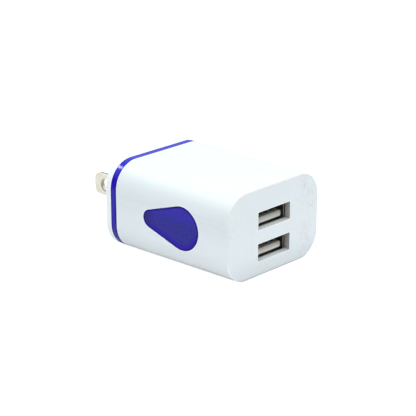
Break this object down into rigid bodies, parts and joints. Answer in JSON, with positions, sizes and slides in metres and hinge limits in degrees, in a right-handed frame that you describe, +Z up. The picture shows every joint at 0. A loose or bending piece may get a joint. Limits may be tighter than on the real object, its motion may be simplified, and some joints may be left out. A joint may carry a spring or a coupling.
{
  "type": "usb wall charger",
  "caption": "Compact white plug-in charger with flat blades, stacked USB sockets, a blue light ring and a drop-shaped side window.",
  "frame": {"origin": "middle of the back cover's outer face, on the plug's centre line", "axes": "+Y along the plug blades into the outlet, +Z up with the sockets one above the other, sockets face -Y"},
  "size_m": [0.038, 0.0636, 0.026],
  "materials": {
    "white_plastic": "smooth moulded, glossy",
    "ring_plastic": "translucent blue, polished",
    "window_plastic": "translucent dark blue, polished",
    "tongue_plastic": "pale grey, fine moulded",
    "board_laminate": "green solder mask",
    "package_black": "moulded black",
    "winding_tape": "yellow film tape",
    "capacitor_sleeve": "dark shrink sleeve",
    "disc_ceramic": "blue coated ceramic",
    "resistor_coat": "green lacquer",
    "lamp_epoxy": "clear blue epoxy",
    "ferrite": "dark sintered ferrite",
    "blade_metal": "nickel-plated brass, satin",
    "socket_steel": "nickel-plated steel sheet",
    "contact_metal": "plated spring bronze"
  },
  "bodies": {
    "charger": {"outer_housing": "white_plastic", "light_ring": "ring_plastic", "back_cover": "white_plastic", "drop_window": "window_plastic", "plug_blade_left": "blade_metal", "plug_blade_right": "blade_metal", "blade_leaf_left": "contact_metal", "blade_leaf_right": "contact_metal", "usb_shell_upper": "socket_steel", "usb_insulator_upper": "tongue_plastic", "usb_shell_lower": "socket_steel", "usb_insulator_lower": "tongue_plastic", "usb_tail_upper_power": "contact_metal", "usb_tail_upper_data_minus": "contact_metal", "usb_tail_upper_data_plus": "contact_metal", "usb_tail_upper_ground": "contact_metal", "usb_tail_lower_power": "contact_metal", "usb_tail_lower_data_minus": "contact_metal", "usb_tail_lower_data_plus": "contact_metal", "usb_tail_lower_ground": "contact_metal", "socket_board": "board_laminate", "main_board": "board_laminate", "link_pin_1": "contact_metal", "link_pin_2": "contact_metal", "link_pin_3": "contact_metal", "link_pin_4": "contact_metal", "input_capacitor_1": "capacitor_sleeve", "input_capacitor_2": "capacitor_sleeve", "output_capacitor_1": "capacitor_sleeve", "output_capacitor_2": "capacitor_sleeve", "input_inductor": "ferrite", "fusible_resistor": "resistor_coat", "bridge_rectifier": "package_black", "optocoupler": "package_black", "safety_capacitor": "disc_ceramic", "output_diode": "package_black", "controller_chip": "package_black", "lamp_resistor": "package_black", "indicator_lamp": "lamp_epoxy", "transformer_core_front": "ferrite", "transformer_core_rear": "ferrite", "transformer_bobbin": "package_black", "transformer_winding": "winding_tape"},
    "usb_contact_upper_power": {"usb_contact_upper_power": "contact_metal"},
    "usb_contact_upper_data_minus": {"usb_contact_upper_data_minus": "contact_metal"},
    "usb_contact_upper_data_plus": {"usb_contact_upper_data_plus": "contact_metal"},
    "usb_contact_upper_ground": {"usb_contact_upper_ground": "contact_metal"},
    "usb_contact_lower_power": {"usb_contact_lower_power": "contact_metal"},
    "usb_contact_lower_data_minus": {"usb_contact_lower_data_minus": "contact_metal"},
    "usb_contact_lower_data_plus": {"usb_contact_lower_data_plus": "contact_metal"},
    "usb_contact_lower_ground": {"usb_contact_lower_ground": "contact_metal"}
  },
  "joints": [
    {"name": "usb_contact_upper_power_flex", "type": "hinge", "parent": "charger", "child": "usb_contact_upper_power", "pos_m": [-0.0035, -0.0353, 0.00204], "axis": [1, 0, 0], "range_deg": [0, 3], "stiffness_Nm_per_rad": 0.1},
    {"name": "usb_contact_upper_data_minus_flex", "type": "hinge", "parent": "charger", "child": "usb_contact_upper_data_minus", "pos_m": [-0.001, -0.0353, 0.00204], "axis": [1, 0, 0], "range_deg": [0, 3], "stiffness_Nm_per_rad": 0.1},
    {"name": "usb_contact_upper_data_plus_flex", "type": "hinge", "parent": "charger", "child": "usb_contact_upper_data_plus", "pos_m": [0.001, -0.0353, 0.00204], "axis": [1, 0, 0], "range_deg": [0, 3], "stiffness_Nm_per_rad": 0.1},
    {"name": "usb_contact_upper_ground_flex", "type": "hinge", "parent": "charger", "child": "usb_contact_upper_ground", "pos_m": [0.0035, -0.0353, 0.00204], "axis": [1, 0, 0], "range_deg": [0, 3], "stiffness_Nm_per_rad": 0.1},
    {"name": "usb_contact_lower_power_flex", "type": "hinge", "parent": "charger", "child": "usb_contact_lower_power", "pos_m": [-0.0035, -0.0353, -0.00696], "axis": [1, 0, 0], "range_deg": [0, 3], "stiffness_Nm_per_rad": 0.1},
    {"name": "usb_contact_lower_data_minus_flex", "type": "hinge", "parent": "charger", "child": "usb_contact_lower_data_minus", "pos_m": [-0.001, -0.0353, -0.00696], "axis": [1, 0, 0], "range_deg": [0, 3], "stiffness_Nm_per_rad": 0.1},
    {"name": "usb_contact_lower_data_plus_flex", "type": "hinge", "parent": "charger", "child": "usb_contact_lower_data_plus", "pos_m": [0.001, -0.0353, -0.00696], "axis": [1, 0, 0], "range_deg": [0, 3], "stiffness_Nm_per_rad": 0.1},
    {"name": "usb_contact_lower_ground_flex", "type": "hinge", "parent": "charger", "child": "usb_contact_lower_ground", "pos_m": [0.0035, -0.0353, -0.00696], "axis": [1, 0, 0], "range_deg": [0, 3], "stiffness_Nm_per_rad": 0.1}
  ]
}
